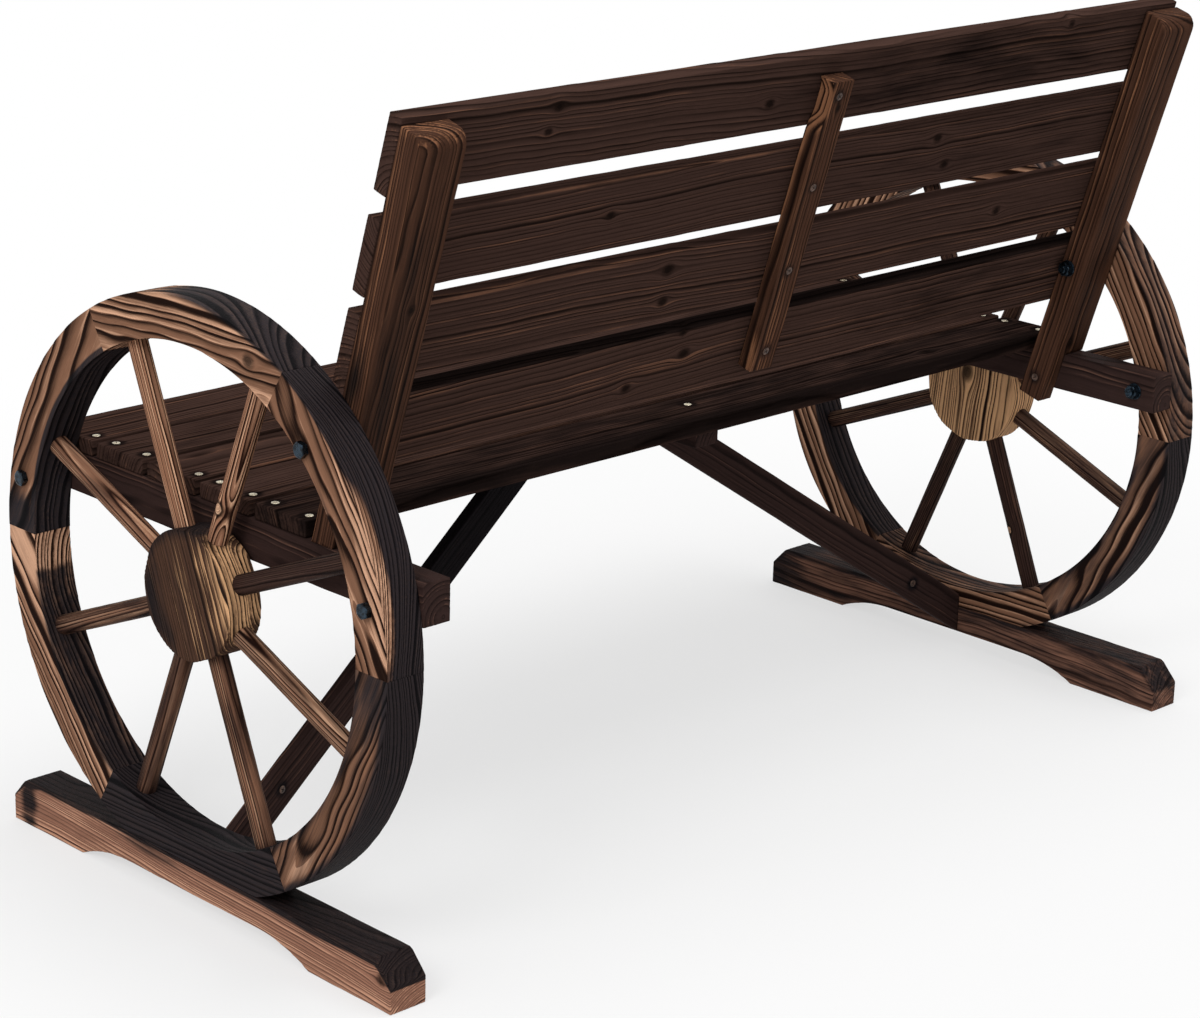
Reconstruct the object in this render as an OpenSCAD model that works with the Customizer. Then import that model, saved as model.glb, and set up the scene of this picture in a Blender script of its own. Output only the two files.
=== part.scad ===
// Garden bench carried by two wooden wagon wheels, each standing on a long foot.
// Sizes are in millimetres. The seat faces -Y, the sitter's left is +X and +Z is up.
// The origin is on the ground, in the middle of the footprint.

/* [Bench] */
// Width over the outer faces of the two wheels
bench_width = 1100; // [900:10:1400]
// Height of the top of the seat above the ground
seat_height = 386.5; // [370:0.5:430]

/* [Wheels] */
// Diameter of the wheels before the bottom is cut flat
wheel_diameter = 536; // [500:2:660]
// Thickness of the rim, across the bench
rim_thickness = 40; // [34:1:56]
// Width of the rim, measured from the wheel's centre outwards
rim_width = 41; // [34:1:56]
// Depth of the flat on which a wheel stands on its foot
wheel_flat = 17; // [10:1:22]
// Number of curved pieces that make one rim
felloe_count = 6; // [6:1:6]
// Number of spokes in one wheel
spoke_count = 8; // [4:4:8]
// Angle of the first spoke above the rear horizontal
first_spoke_angle = 22.5; // [20:0.5:25]
// Diameter of a spoke
spoke_diameter = 19; // [14:0.5:23]
// Diameter of the hub
hub_diameter = 124; // [110:2:160]
// Thickness of the hub
hub_thickness = 36; // [28:1:38]
// How far the hub and the spokes sit outward from the middle of the rim
hub_out = 2; // [0:0.5:3]
// Depth of a spoke in the hub
hub_socket = 20; // [12:1:26]
// Depth of a spoke in the rim
rim_socket = 14; // [8:1:14]

/* [Feet] */
// Length of a foot, front to back
foot_length = 548; // [480:2:680]
// Height of a foot
foot_height = 45.5; // [40:0.5:56]
// Height of the arch under a foot
arch_height = 16; // [8:0.5:18]
// Length of the arch under a foot
arch_length = 330; // [300:2:400]
// Length over which each end of the arch curves down to the ground
arch_end = 70; // [40:1:90]
// Length of the bevel on the top of each end of a foot
foot_bevel_length = 19; // [8:0.5:30]
// Height of the bevel on the top of each end of a foot
foot_bevel_height = 20.5; // [8:0.5:30]

/* [Seat] */
// Width of a side rail, across the bench
rail_width = 30.6; // [28:0.2:40]
// Height of a side rail
rail_height = 39.1; // [34:0.1:48]
// How far a side rail runs past its front bolt
rail_front_end = 21; // [19:0.5:40]
// How far a side rail runs past its rear bolt
rail_rear_end = 24; // [16:0.5:40]
// How far the front bolt sits below the middle of its rail
front_bolt_drop = 4; // [0:0.5:6]
// Width of the centre rail, across the bench
centre_rail_width = 31.6; // [26:0.2:44]
// Height of the centre rail
centre_rail_height = 21; // [18:0.5:30]
// How far the centre rail stays back from the front edge of the seat
centre_rail_front_gap = 22; // [0:1:40]
// How far the centre rail stays short of the rear edge of the seat
centre_rail_rear_gap = 20; // [0:1:28]
// Number of slats in the seat
seat_slat_count = 5; // [5:1:5]
// Width of a seat slat
seat_slat_width = 70; // [58:0.5:84]
// Thickness of a seat slat
seat_slat_thickness = 15.2; // [12:0.2:20]
// Gap between two seat slats
seat_slat_gap = 6.5; // [2:0.5:10]

/* [Back] */
// Lean of the back away from upright, in degrees
back_lean = 16.75; // [10:0.25:22]
// Gap between the seat's rear edge and the front of the posts, at the top of the rails
post_gap = 7.5; // [5:0.5:20]
// Width of a post, across the bench
post_width = 51.2; // [46:0.2:62]
// Thickness of a post, front to back
post_thickness = 27.7; // [24:0.1:34]
// How far a post stays below the top of the last back slat
post_top_gap = 5.5; // [0:0.5:20]
// Length of the tongue that laps the inner side of a rail
post_lap = 45; // [38:1:54]
// Radius of the rounded rear corner on the top of a post
post_round = 13.5; // [4:0.5:16]
// Thickness of a back slat
back_slat_thickness = 16; // [12:0.2:20]
// Height of the first back slat's lower edge above the rails
back_slat_start = 62; // [30:1:62]
// Width of a back slat
back_slat_width = 70; // [50:0.5:84]
// Gaps above the first, second and third back slats
back_slat_gaps = [15, 15.5, 21]; // [2:0.5:24]
// Width of the batten behind the slats
batten_width = 30.8; // [24:0.2:44]
// Thickness of the batten
batten_thickness = 17; // [12:0.5:24]
// How far the batten's lower end sits above the first back slat's lower edge
batten_low_gap = 15; // [4:0.5:20]
// How far the batten's upper end sits below the last back slat's upper edge
batten_high_gap = 20; // [4:0.5:21]

/* [Braces] */
// Width of a brace
brace_width = 36.3; // [30:0.1:44]
// Thickness of a brace
brace_thickness = 12.5; // [10:0.5:18]
// How far the lower end of a brace reaches below the top of the foot
brace_drop = 27.5; // [20:0.5:30]

/* [Fasteners] */
// Diameter of the bolts through the rims
bolt_diameter = 8; // [6:1:8]
// Width of the bolt heads and nuts, flat to flat
hex_width = 13; // [10:0.5:14]
// Height of the bolt heads
bolt_head_height = 5.3; // [3:0.1:7]
// Height of the nuts
nut_height = 6.5; // [4:0.1:8]
// Length of bolt that shows beyond its nut
bolt_tail = 3; // [1:0.5:6]
// Diameter of the washers under the nuts
washer_diameter = 17; // [14:0.5:19]
// Thickness of the washers
washer_thickness = 1.6; // [1:0.1:3]
// Distance of the post bolts from the inner edge of the rim
post_bolt_edge = 9; // [9:0.5:16]
// Distance of the post bolts from the front of the post
post_bolt_in = 10; // [9:0.5:18]
// Diameter of the screws' shanks
screw_diameter = 4; // [3:0.1:5]
// Diameter of the screws' heads
screw_head = 7.6; // [6:0.1:9]
// Depth of the screws' tapered heads
screw_head_depth = 2.6; // [2:0.1:4]
// Length of the screws through the seat slats
seat_screw_length = 32; // [24:1:32]
// Distance of the seat screws from the slats' ends
seat_screw_in = 14; // [10:0.5:20]
// Distance of the seat screws from the slats' long edges
seat_screw_edge = 12; // [9:0.5:20]
// How far the centre rail's screws sit from the middle of their slat
centre_screw_offset = 12; // [9:0.5:18]
// Length of the screws through the back slats into the posts
back_screw_length = 38; // [30:1:41]
// Distance of the back slat screws from the slats' long edges
back_screw_edge = 16; // [10:0.5:22]
// Length of the screws through the batten
batten_screw_length = 30; // [22:1:31]
// How far the batten's screws sit below the middle of their slat
batten_screw_drop = 0; // [0:0.5:10]
// Length of the screws through the posts' tongues
post_screw_length = 40; // [30:1:46]
// Length of the screws through the feet into the rims
foot_screw_length = 48; // [38:1:50]
// Distance of the foot screws from the ends of the wheel's flat
foot_screw_in = 34; // [20:1:50]
// Length of the small screws in the braces
brace_screw_length = 11; // [6:0.5:11]
// Distance of the small screws from the braces' lower ends, across the bench
brace_screw_in = 79; // [40:1:120]
// Diameter of the dowels between the pieces of a rim
rim_dowel_diameter = 8; // [6:0.5:10]
// Length of the dowels between the pieces of a rim
rim_dowel_length = 40; // [30:1:44]
// Diameter of the dowels in the ends of the braces
brace_dowel_diameter = 6; // [4:0.5:6]
// Depth of a dowel in the end of a brace, and in the rim
brace_dowel_depth = 15; // [10:1:16]

/* [Fits] */
// Space round each spoke and dowel in its socket
socket_gap = 0.2; // [0.1:0.05:0.4]
// Space round each screw in the wood
screw_gap = 0.15; // [0.1:0.05:0.4]
// Space round each bolt in its hole
bolt_gap = 0.3; // [0.2:0.05:0.6]
// Space between a bolt's thread and its nut
thread_gap = 0.1; // [0.05:0.05:0.2]
// Space between the ends of the slats and the wheels
slat_end_gap = 1; // [0.5:0.5:3]
// Depth of each screw's head below the wood
screw_sink = 0.2; // [0:0.1:1]

/* [Hidden] */
SIDES = ["left", "right"];
FELLOES = [1 : felloe_count];
SPOKES = [1 : spoke_count];
SEAT_SLATS = [1 : seat_slat_count];
BACK_SLATS = [1 : len(back_slat_gaps) + 1];
$fn = 48;

// Cutting shapes run this far past the faces that they cut
past = 1;
// Wood left between a bolt's hole and the hole of a screw or a dowel beside it
bolt_wall = 2;

// Places across the bench
rim_outer_x = bench_width / 2;
rim_inner_x = rim_outer_x - rim_thickness;
rim_mid_x = rim_outer_x - rim_thickness / 2;
hub_mid_x = rim_mid_x + hub_out;
rail_inner_x = rim_inner_x - rail_width;
post_inner_x = rim_inner_x - post_width;
slat_half = rim_inner_x - slat_end_gap;
centre_rail_side = centre_rail_width / 2;

// Places up the bench
wheel_radius = wheel_diameter / 2;
wheel_z = foot_height + wheel_radius - wheel_flat;
rail_top = seat_height - seat_slat_thickness;
rail_bottom = rail_top - rail_height;
centre_rail_bottom = rail_top - centre_rail_height;

// The wheel
rim_inner_radius = wheel_radius - rim_width;
rim_mid_radius = wheel_radius - rim_width / 2;
felloe_angle = 360 / felloe_count;
spoke_start = hub_diameter / 2 - hub_socket;
spoke_end = rim_inner_radius + rim_socket;
flat_half = sqrt(pow(wheel_radius, 2) - pow(wheel_radius - wheel_flat, 2));

// Rail bolts sit in the middle of the rim, the rear one half way up the rail and the front one lower
rail_bolt_z = rail_bottom + rail_height / 2;
rail_bolt_y = sqrt(pow(rim_mid_radius, 2) - pow(rail_bolt_z - wheel_z, 2));
front_bolt_z = rail_bolt_z - front_bolt_drop;
front_bolt_y = sqrt(pow(rim_mid_radius, 2) - pow(front_bolt_z - wheel_z, 2));

// Places from front to back
seat_front = -rail_bolt_y - rail_front_end;
rail_rear = rail_bolt_y + rail_rear_end;
slat_pitch = seat_slat_width + seat_slat_gap;
seat_rear = seat_front + seat_slat_count * slat_pitch - seat_slat_gap;
seat_middle = (seat_front + seat_rear) / 2;
post_front = seat_rear + post_gap;

// Heights above the rails, measured along the back
back_end = back_slat_start + (len(back_slat_gaps) + 1) * back_slat_width
    + sum_first(back_slat_gaps, len(back_slat_gaps));
post_length = back_end - post_top_gap;
batten_start = back_slat_start + batten_low_gap;
batten_end = back_end - batten_high_gap;

// Post bolts sit on a circle round the wheel's centre, where it crosses the post
bolt_line_y = post_front + post_bolt_in * cos(back_lean);
bolt_line_z = rail_top - post_bolt_in * sin(back_lean) - wheel_z;
bolt_line_along = bolt_line_y * sin(back_lean) + bolt_line_z * cos(back_lean);
bolt_line_apart = pow(bolt_line_y, 2) + pow(bolt_line_z, 2) - pow(bolt_line_along, 2);
post_bolt_up = sqrt(pow(rim_inner_radius + post_bolt_edge, 2) - bolt_line_apart) - bolt_line_along;
post_bolt_y = bolt_line_y + post_bolt_up * sin(back_lean);
post_bolt_z = wheel_z + bolt_line_z + post_bolt_up * cos(back_lean);

// Least distance from the middle of a bolt to the middle of a screw or a dowel beside it
bolt_side = bolt_diameter / 2 + bolt_gap + bolt_wall;
screw_clear = bolt_side + screw_diameter / 2 + screw_gap;
dowel_clear = bolt_side + rim_dowel_diameter / 2 + socket_gap;

// Each bolt through a rim: its place from front to back, its height, and how far in its washer lies
BOLTS = [
    [-front_bolt_y, front_bolt_z, rail_inner_x],
    [rail_bolt_y, rail_bolt_z, rail_inner_x],
    [post_bolt_y, post_bolt_z, post_inner_x]
];

// Braces climb from the middle of the wheel to the middle of the seat
brace_foot_z = foot_height - brace_drop;
brace_run_x = rim_inner_x - centre_rail_side;
brace_run = norm([brace_run_x, seat_middle]);
brace_turn = atan2(-seat_middle, brace_run_x);
brace_slope = atan2(centre_rail_bottom - brace_foot_z, brace_run);
brace_end_top = brace_foot_z + brace_width / cos(brace_slope);
brace_dowel_z = (foot_height + brace_end_top) / 2;
centre_dowel_z = centre_rail_bottom + centre_rail_height / 2;

function seat_slat_front(k) = seat_front + (k - 1) * slat_pitch;
function sum_first(list, n) = n == 0 ? 0 : list[n - 1] + sum_first(list, n - 1);
function back_slat_bottom(k) =
    back_slat_start + (k - 1) * back_slat_width + sum_first(back_slat_gaps, k - 1);
function back_slat_middle(k) = back_slat_bottom(k) + back_slat_width / 2;
function stagger(k) = k % 2 == 1 ? -1 : 1;

// A screw into a post that would meet the post's bolt moves up or down past it
function beside_post_bolt(up) =
    abs(up - post_bolt_up) >= screw_clear ? up
    : up > post_bolt_up ? post_bolt_up + screw_clear
    : post_bolt_up - screw_clear;

// A dowel of a rim that would meet a bolt moves out past it
function along_joint(k, y, z) = z * cos(k * felloe_angle) - y * sin(k * felloe_angle);
function out_of_joint(k, y, z) = y * cos(k * felloe_angle) + z * sin(k * felloe_angle) - rim_mid_radius;
function rim_dowel_out(k) = max(concat([0], [
    for (bolt = BOLTS)
        let (along = along_joint(k, bolt[0], bolt[1] - wheel_z))
        let (out = out_of_joint(k, bolt[0], bolt[1] - wheel_z))
            if (abs(along) < rim_dowel_length / 2 + bolt_side && abs(out) < dowel_clear)
                out + dowel_clear
]));

// Placing

module on_side(side) {
    if (side == "right") mirror([1, 0, 0]) children();
    else children();
}

module on_both_sides() {
    children();
    mirror([1, 0, 0]) children();
}

// Lays a shape drawn flat in the wheel's plane: its X runs to the rear and its Y up
module in_wheel_plane(x) {
    translate([x, 0, wheel_z]) rotate([90, 0, 90]) children();
}

// Leans a shape with the back: its X runs behind the posts' front and its Y up the posts
module in_back_plane(x) {
    translate([x, post_front, rail_top]) rotate([90, 0, 90]) rotate([0, 0, -back_lean]) children();
}

// Shapes of fasteners, which also cut their own holes

// A screw that starts at the origin and points up, swollen by gap when it cuts
module screw_shape(length, gap = 0) {
    translate([0, 0, screw_sink]) {
        cylinder(h = screw_head_depth, d1 = screw_head + 2 * gap, d2 = screw_diameter + 2 * gap);
        cylinder(h = length - screw_sink + gap, d = screw_diameter + 2 * gap);
    }
    if (gap > 0)
        translate([0, 0, -past]) cylinder(h = past + screw_sink, d = screw_head + 2 * gap);
}

// A plain rod along X, swollen by gap when it cuts
module rod_along_x(length, diameter, gap = 0) {
    translate([-gap, 0, 0]) rotate([0, 90, 0])
        cylinder(h = length + 2 * gap, d = diameter + 2 * gap);
}

module seat_screw_shapes(k, gap = 0) {
    front = seat_slat_front(k);
    for (y = [front + seat_screw_edge, front + seat_slat_width - seat_screw_edge])
        for (x = [-slat_half + seat_screw_in, slat_half - seat_screw_in])
            translate([x, y, seat_height]) rotate([180, 0, 0]) screw_shape(seat_screw_length, gap);
    translate([0, front + seat_slat_width / 2 + stagger(k) * centre_screw_offset, seat_height])
        rotate([180, 0, 0]) screw_shape(seat_screw_length, gap);
}

module back_slat_screw_shapes(k, gap = 0) {
    low = back_slat_bottom(k) + back_screw_edge;
    high = back_slat_bottom(k) + back_slat_width - back_screw_edge;
    on_both_sides()
        for (up = [beside_post_bolt(low), beside_post_bolt(high)])
            in_back_plane((post_inner_x + rim_inner_x) / 2)
                translate([-back_slat_thickness, up, 0]) rotate([0, 90, 0])
                    screw_shape(back_screw_length, gap);
}

module batten_screw_shape(k, gap = 0) {
    in_back_plane(0)
        translate([batten_thickness, back_slat_middle(k) - batten_screw_drop, 0])
            rotate([0, -90, 0]) screw_shape(batten_screw_length, gap);
}

module post_screw_shape(gap = 0) {
    in_back_plane(post_inner_x)
        translate([post_thickness / 2, -post_lap / 2, 0]) screw_shape(post_screw_length, gap);
}

module foot_screw_shapes(gap = 0) {
    for (y = [foot_screw_in - flat_half, flat_half - foot_screw_in])
        translate([rim_mid_x, y, arch_height]) screw_shape(foot_screw_length, gap);
}

module brace_screw_shape(gap = 0) {
    in_brace()
        translate([brace_screw_in / cos(brace_slope), brace_thickness / 2, brace_width / 2])
            rotate([90, 0, 0]) screw_shape(brace_screw_length, gap);
}

module rim_bolt_hole(bolt) {
    translate([bolt[2] - past, bolt[0], bolt[1]])
        rod_along_x(rim_outer_x - bolt[2] + 2 * past, bolt_diameter + 2 * bolt_gap);
}

module rim_dowel_shape(k, gap = 0) {
    in_wheel_plane(rim_mid_x) rotate([0, 0, k * felloe_angle])
        translate([rim_mid_radius + rim_dowel_out(k), -rim_dowel_length / 2, 0]) rotate([0, 0, 90])
            rod_along_x(rim_dowel_length, rim_dowel_diameter, gap);
}

module spoke_shape(k, gap = 0) {
    in_wheel_plane(hub_mid_x) rotate([0, 0, first_spoke_angle + (k - 1) * 360 / spoke_count])
        translate([spoke_start, 0, 0])
            rod_along_x(spoke_end - spoke_start, spoke_diameter, gap);
}

module brace_dowel_shape(gap = 0) {
    translate([rim_inner_x - brace_dowel_depth, 0, brace_dowel_z])
        rod_along_x(2 * brace_dowel_depth, brace_dowel_diameter, gap);
}

// One dowel runs from brace to brace through the centre rail
module centre_dowel_shape(gap = 0) {
    half = centre_rail_side + brace_dowel_depth;
    translate([-half, seat_middle, centre_dowel_z])
        rod_along_x(2 * half, brace_dowel_diameter, gap);
}

// Feet

// The curve that carries one end of the arch from the ground up to the arch's height
arch_radius = (pow(arch_end, 2) + pow(arch_height, 2)) / (2 * arch_height);
arch_sweep = asin(arch_end / arch_radius);
ARCH_STEPS = 10;
arch_curve = [
    for (i = [0 : ARCH_STEPS])
        let (angle = arch_sweep * (1 - i / ARCH_STEPS))
            [arch_length / 2 - arch_end + arch_radius * sin(angle),
             arch_height - arch_radius * (1 - cos(angle))]
];

module foot_outline() {
    half = foot_length / 2;
    bevelled_half = half - foot_bevel_length;
    side_height = foot_height - foot_bevel_height;
    front_curve = [for (i = [ARCH_STEPS : -1 : 0]) [-arch_curve[i][0], arch_curve[i][1]]];
    polygon(concat(
        arch_curve,
        front_curve,
        [[-half, 0], [-half, side_height], [-bevelled_half, foot_height]],
        [[bevelled_half, foot_height], [half, side_height], [half, 0]]
    ));
}

module foot(side) {
    color("saddlebrown") on_side(side) difference() {
        translate([rim_inner_x, 0, 0]) rotate([90, 0, 90])
            linear_extrude(rim_thickness) foot_outline();
        foot_screw_shapes(screw_gap);
    }
}

// Wheels

module hub(side) {
    color("peru") on_side(side) difference() {
        in_wheel_plane(hub_mid_x) cylinder(h = hub_thickness, d = hub_diameter, center = true);
        for (k = SPOKES) spoke_shape(k, socket_gap);
    }
}

// The first felloe starts at the rear and runs upwards, and the rest follow it round
module felloe(side, n) {
    color("sienna") on_side(side) difference() {
        in_wheel_plane(rim_inner_x) rotate([0, 0, (n - 1) * felloe_angle])
            rotate_extrude(angle = felloe_angle)
                translate([rim_inner_radius, 0]) square([rim_width, rim_thickness]);
        translate([rim_inner_x - past, -wheel_radius, foot_height - wheel_radius])
            cube([rim_thickness + 2 * past, wheel_diameter, wheel_radius]);
        for (k = SPOKES) spoke_shape(k, socket_gap);
        for (k = [n - 1, n]) rim_dowel_shape(k, socket_gap);
        for (bolt = BOLTS) rim_bolt_hole(bolt);
        foot_screw_shapes(screw_gap);
        brace_dowel_shape(socket_gap);
    }
}

module spoke(side, k) {
    color("chocolate") on_side(side) spoke_shape(k);
}

// Seat

module rail(side) {
    color("saddlebrown") on_side(side) difference() {
        translate([rail_inner_x, seat_front, rail_bottom])
            cube([rail_width, rail_rear - seat_front, rail_height]);
        for (bolt = BOLTS) rim_bolt_hole(bolt);
        for (k = SEAT_SLATS) seat_screw_shapes(k, screw_gap);
        post_screw_shape(screw_gap);
    }
}

module centre_rail() {
    front = seat_front + centre_rail_front_gap;
    rear = seat_rear - centre_rail_rear_gap;
    color("saddlebrown") difference() {
        translate([-centre_rail_side, front, centre_rail_bottom])
            cube([centre_rail_width, rear - front, centre_rail_height]);
        for (k = SEAT_SLATS) seat_screw_shapes(k, screw_gap);
        centre_dowel_shape(socket_gap);
    }
}

module seat_slat(k) {
    color("sienna") difference() {
        translate([-slat_half, seat_slat_front(k), rail_top])
            cube([2 * slat_half, seat_slat_width, seat_slat_thickness]);
        seat_screw_shapes(k, screw_gap);
    }
}

// Back

module post_outline() {
    translate([0, -post_lap])
        square([post_thickness, post_lap + post_length - post_round]);
    translate([0, post_length - 2 * post_round])
        square([post_thickness - post_round, 2 * post_round]);
    translate([post_thickness - post_round, post_length - post_round]) circle(r = post_round);
}

module post(side) {
    color("sienna") on_side(side) difference() {
        in_back_plane(post_inner_x) linear_extrude(post_width) post_outline();
        translate([rail_inner_x, 0, rail_top - 2 * post_lap])
            cube([rail_width + past, rail_rear, 2 * post_lap]);
        for (bolt = BOLTS) rim_bolt_hole(bolt);
        for (k = BACK_SLATS) back_slat_screw_shapes(k, screw_gap);
        post_screw_shape(screw_gap);
    }
}

module back_slat(k) {
    color("sienna") difference() {
        in_back_plane(-slat_half)
            translate([-back_slat_thickness, back_slat_bottom(k), 0])
                cube([back_slat_thickness, back_slat_width, 2 * slat_half]);
        back_slat_screw_shapes(k, screw_gap);
        batten_screw_shape(k, screw_gap);
    }
}

module back_batten() {
    color("saddlebrown") difference() {
        in_back_plane(-batten_width / 2)
            translate([0, batten_start, 0])
                cube([batten_thickness, batten_end - batten_start, batten_width]);
        for (k = BACK_SLATS) batten_screw_shape(k, screw_gap);
    }
}

// Braces

// Starts at a brace's lower end: X runs up the brace, Y to the rear and Z across its width
module in_brace() {
    translate([rim_inner_x, 0, brace_foot_z]) rotate([0, 0, 180 + brace_turn])
        rotate([0, -brace_slope, 0]) mirror([0, 1, 0]) children();
}

module brace(side) {
    overrun = 2 * brace_width;
    length = norm([brace_run, centre_rail_bottom - brace_foot_z]);
    color("saddlebrown") on_side(side) difference() {
        intersection() {
            in_brace() translate([-overrun, -brace_thickness / 2, 0])
                cube([length + 2 * overrun, brace_thickness, brace_width]);
            translate([centre_rail_side, -foot_length, 0])
                cube([brace_run_x, 2 * foot_length, rail_top]);
        }
        brace_dowel_shape(socket_gap);
        centre_dowel_shape(socket_gap);
        brace_screw_shape(screw_gap);
    }
}

// Fasteners

module rim_bolts() {
    color("darkslategray") on_both_sides() for (bolt = BOLTS) {
        tail_x = bolt[2] - washer_thickness - nut_height - bolt_tail;
        translate([tail_x, bolt[0], bolt[1]]) rod_along_x(rim_outer_x - tail_x, bolt_diameter);
        translate([rim_outer_x, bolt[0], bolt[1]]) hex_along_x(bolt_head_height);
    }
}

module hex_along_x(height) {
    rotate([0, 90, 0]) cylinder(h = height, d = hex_width / cos(30), $fn = 6);
}

module rim_nuts() {
    color("darkslategray") on_both_sides() for (bolt = BOLTS)
        translate([bolt[2] - washer_thickness - nut_height, bolt[0], bolt[1]]) difference() {
            hex_along_x(nut_height);
            translate([-past, 0, 0])
                rod_along_x(nut_height + 2 * past, bolt_diameter + 2 * thread_gap);
        }
}

module rim_washers() {
    color("slategray") on_both_sides() for (bolt = BOLTS)
        translate([bolt[2] - washer_thickness, bolt[0], bolt[1]]) difference() {
            rod_along_x(washer_thickness, washer_diameter);
            translate([-past, 0, 0])
                rod_along_x(washer_thickness + 2 * past, bolt_diameter + 2 * bolt_gap);
        }
}

module rim_dowels() {
    color("burlywood") on_both_sides() for (k = FELLOES) rim_dowel_shape(k);
}

module brace_dowels() {
    color("burlywood") {
        on_both_sides() brace_dowel_shape();
        centre_dowel_shape();
    }
}

module seat_screws() {
    color("silver") for (k = SEAT_SLATS) seat_screw_shapes(k);
}

module back_slat_screws() {
    color("silver") for (k = BACK_SLATS) back_slat_screw_shapes(k);
}

module batten_screws() {
    color("silver") for (k = BACK_SLATS) batten_screw_shape(k);
}

module post_screws() {
    color("silver") on_both_sides() post_screw_shape();
}

module foot_screws() {
    color("silver") on_both_sides() foot_screw_shapes();
}

module brace_screws() {
    color("silver") on_both_sides() brace_screw_shape();
}

for (side = SIDES) {
    foot(side);
    hub(side);
    for (k = FELLOES) felloe(side, k);
    for (k = SPOKES) spoke(side, k);
    rail(side);
    post(side);
    brace(side);
}
centre_rail();
for (k = SEAT_SLATS) seat_slat(k);
for (k = BACK_SLATS) back_slat(k);
back_batten();
rim_bolts();
rim_nuts();
rim_washers();
rim_dowels();
brace_dowels();
seat_screws();
back_slat_screws();
batten_screws();
post_screws();
foot_screws();
brace_screws();
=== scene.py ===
import math
from dataclasses import dataclass
import bmesh
import bpy
import numpy as np
from mathutils import Matrix, Vector


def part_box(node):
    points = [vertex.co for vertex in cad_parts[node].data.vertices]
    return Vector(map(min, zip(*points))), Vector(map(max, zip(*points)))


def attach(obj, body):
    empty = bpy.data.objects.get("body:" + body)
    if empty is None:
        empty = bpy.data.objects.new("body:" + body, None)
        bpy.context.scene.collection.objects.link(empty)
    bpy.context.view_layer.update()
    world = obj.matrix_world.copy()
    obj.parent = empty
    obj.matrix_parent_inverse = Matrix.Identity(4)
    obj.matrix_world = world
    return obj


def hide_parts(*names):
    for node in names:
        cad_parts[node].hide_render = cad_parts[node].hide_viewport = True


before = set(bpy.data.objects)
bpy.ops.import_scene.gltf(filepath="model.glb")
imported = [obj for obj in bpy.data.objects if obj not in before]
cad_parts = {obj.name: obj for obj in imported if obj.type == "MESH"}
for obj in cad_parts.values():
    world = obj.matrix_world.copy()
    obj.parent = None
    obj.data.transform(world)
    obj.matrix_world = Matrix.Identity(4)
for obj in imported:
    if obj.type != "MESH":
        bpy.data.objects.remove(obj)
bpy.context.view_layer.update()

MM = 0.001
scene = bpy.context.scene
scene.view_settings.view_transform = "Standard"

# Camera: where the photograph was taken from, in metres and degrees, with its lens in millimetres

CAMERA_PLACE = Vector((2.1193, 2.0949, 1.2252))
CAMERA_TURN = 135.331
CAMERA_HEIGHT = 17.898
CAMERA_ROLL = 1.523
LENS = 95.37
FILM_WIDTH = 36
FARTHEST_SEEN = 200


def make_camera():
    turn, height, roll = (math.radians(a) for a in (CAMERA_TURN, CAMERA_HEIGHT, CAMERA_ROLL))
    flat = math.cos(height)
    back = Vector((math.sin(turn) * flat, -math.cos(turn) * flat, math.sin(height)))
    level = Vector((0, 0, 1)).cross(back).normalized()
    upright = back.cross(level)
    right = math.cos(roll) * level + math.sin(roll) * upright
    up = math.cos(roll) * upright - math.sin(roll) * level
    lens = bpy.data.cameras.new("camera")
    lens.lens = LENS
    lens.sensor_width = FILM_WIDTH
    lens.clip_end = FARTHEST_SEEN
    camera = bpy.data.objects.new("camera", lens)
    camera.matrix_world = Matrix((right, up, back)).transposed().to_4x4()
    camera.matrix_world.translation = CAMERA_PLACE
    scene.collection.objects.link(camera)
    scene.camera = camera


# Arithmetic that works on numbers, on arrays and on a material's sockets


class Value:
    """One output of a material's node, with arithmetic."""

    def __init__(self, finish, socket):
        self.finish = finish
        self.socket = socket

    def maths(self, operation, *values):
        return self.finish.add("Math", {"operation": operation}, dict(enumerate(values)))

    def __add__(self, other):
        return self.maths("ADD", self, other)

    def __sub__(self, other):
        return self.maths("SUBTRACT", self, other)

    def __rsub__(self, other):
        return self.maths("SUBTRACT", other, self)

    def __mul__(self, other):
        return self.maths("MULTIPLY", self, other)

    __radd__ = __add__
    __rmul__ = __mul__


def either_way(operation, plain):
    """A function that works on a material's values as well as on numbers and arrays."""
    def work(x, *more):
        return x.maths(operation, x, *more) if isinstance(x, Value) else plain(x, *more)
    return work


sine = either_way("SINE", np.sin)
root = either_way("SQRT", np.sqrt)
power = either_way("POWER", np.power)
least = either_way("MINIMUM", np.minimum)
fraction = either_way("FRACT", lambda x: x - np.floor(x))


# Good and lean years: how far they shift the rings, how often, and from where
YEAR_SWINGS = ((0.33, 0.9, 1.3), (0.16, 2.17, 0.4))
LINE_RISE = 2.0
LINE_FALL = 6


def tree_years(v, w):
    """How many years out from the pith a point lies, as good years and lean years vary."""
    even = root(v * v + w * w)
    years = even
    for swing, pace, start in YEAR_SWINGS:
        years = years + swing * sine(even * pace + start)
    return years


def late_wood(years):
    """0 in the soft wood of spring, 1 in the hard dark line that ends a year."""
    season = fraction(years)
    return power(season, LINE_RISE) * least((1 - season) * LINE_FALL, 1)


# Materials


def srgb(red, green, blue):
    """A colour from 0 to 255, as on a paint chart, in the numbers that the render wants."""
    parts = [c / 255 for c in (red, green, blue)]
    return tuple(c / 12.92 if c < 0.04 else ((c + 0.055) / 1.055) ** 2.4 for c in parts) + (1,)


# Where a Mix node has its sockets for colours
MIX_FACTOR, MIX_FIRST, MIX_SECOND, MIX_COLOUR = 0, 6, 7, 2


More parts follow.
